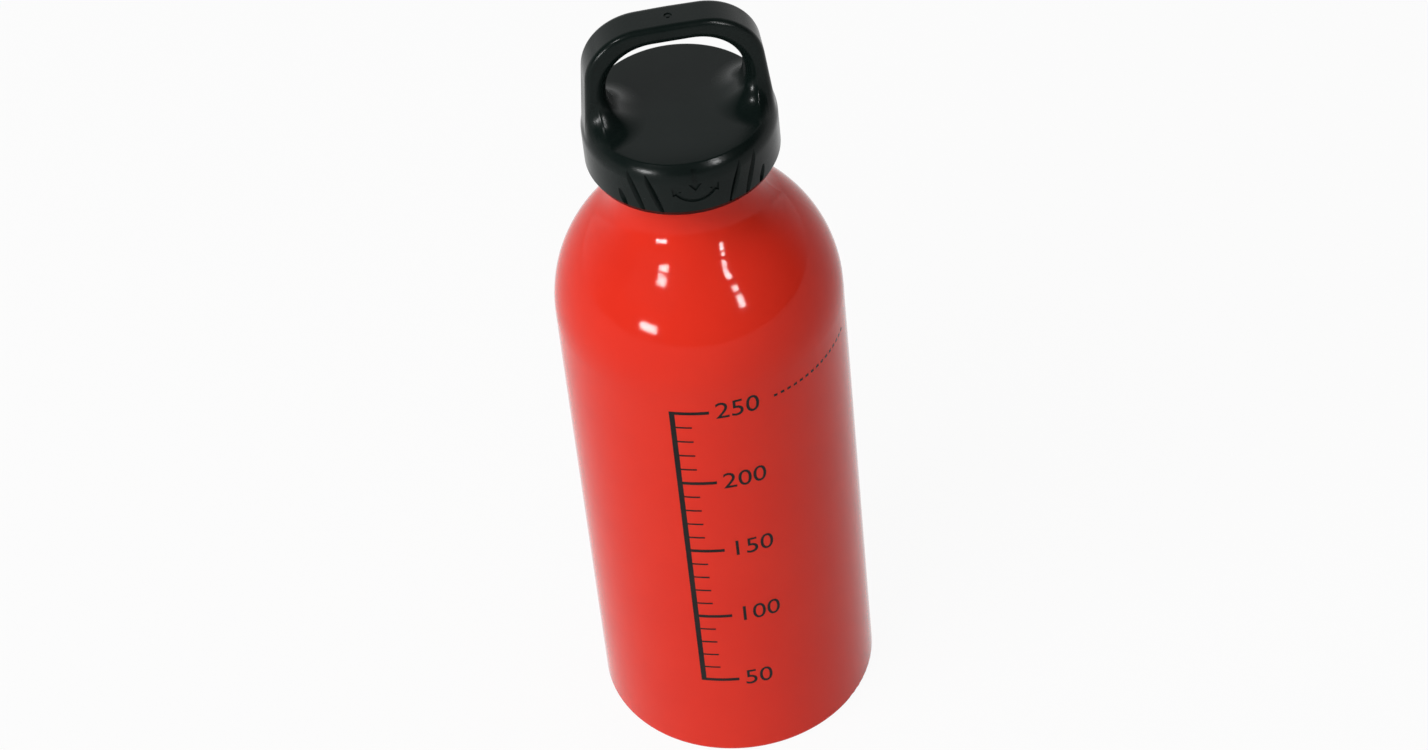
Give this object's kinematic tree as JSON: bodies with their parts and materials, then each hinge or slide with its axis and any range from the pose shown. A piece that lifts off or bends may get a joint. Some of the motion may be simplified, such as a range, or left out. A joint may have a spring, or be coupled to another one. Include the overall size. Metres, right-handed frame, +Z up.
{
  "type": "camping fuel bottle",
  "caption": "Lacquered aluminium fuel bottle with a domed shoulder and a black push-and-turn screw cap that carries a moulded carrying loop.",
  "frame": {"origin": "centre of the ring that the bottle stands on", "axes": "+Z up along the bottle's axis; the carrying loop lies along X; the push-and-turn sign on the cap faces -Y"},
  "size_m": [0.058, 0.058, 0.1807],
  "materials": {
    "lacquered_aluminium": "gloss red lacquer outside, bare aluminium at the mouth and inside",
    "seal_rubber": "smooth fuel-proof rubber",
    "plug_plastic": "moulded, satin",
    "spring_steel": "bright spring wire",
    "cap_plastic": "moulded, semi-gloss, charcoal black"
  },
  "bodies": {
    "bottle": {"bottle_shell": "lacquered_aluminium"},
    "seal": {"o_ring": "seal_rubber"},
    "plug": {"threaded_plug": "plug_plastic"},
    "spring": {"return_spring": "spring_steel"},
    "cap": {"outer_cap": "cap_plastic"}
  },
  "joints": [
    {"name": "cap_lift", "type": "slide", "parent": "bottle", "child": "seal", "axis": [0, 0, 1], "range_m": [0, 0.015]},
    {"name": "cap_unscrew", "type": "hinge", "parent": "seal", "child": "plug", "pos_m": [0, 0, 0.1524], "axis": [0, 0, 1], "range_deg": [0, 1800]},
    {"name": "cap_spin", "type": "hinge", "parent": "plug", "child": "spring", "pos_m": [0, 0, 0.1524], "axis": [0, 0, 1], "continuous": true},
    {"name": "cap_press", "type": "slide", "parent": "spring", "child": "cap", "axis": [0, 0, -1], "range_m": [0, 0.0014], "stiffness_N_per_m": 1000, "springref_m": -0.003, "deforming": ["return_spring"]}
  ],
  "couplings": [
    {"joint": "cap_lift", "follows": "cap_unscrew", "m_per_rad": 0.00047746}
  ]
}
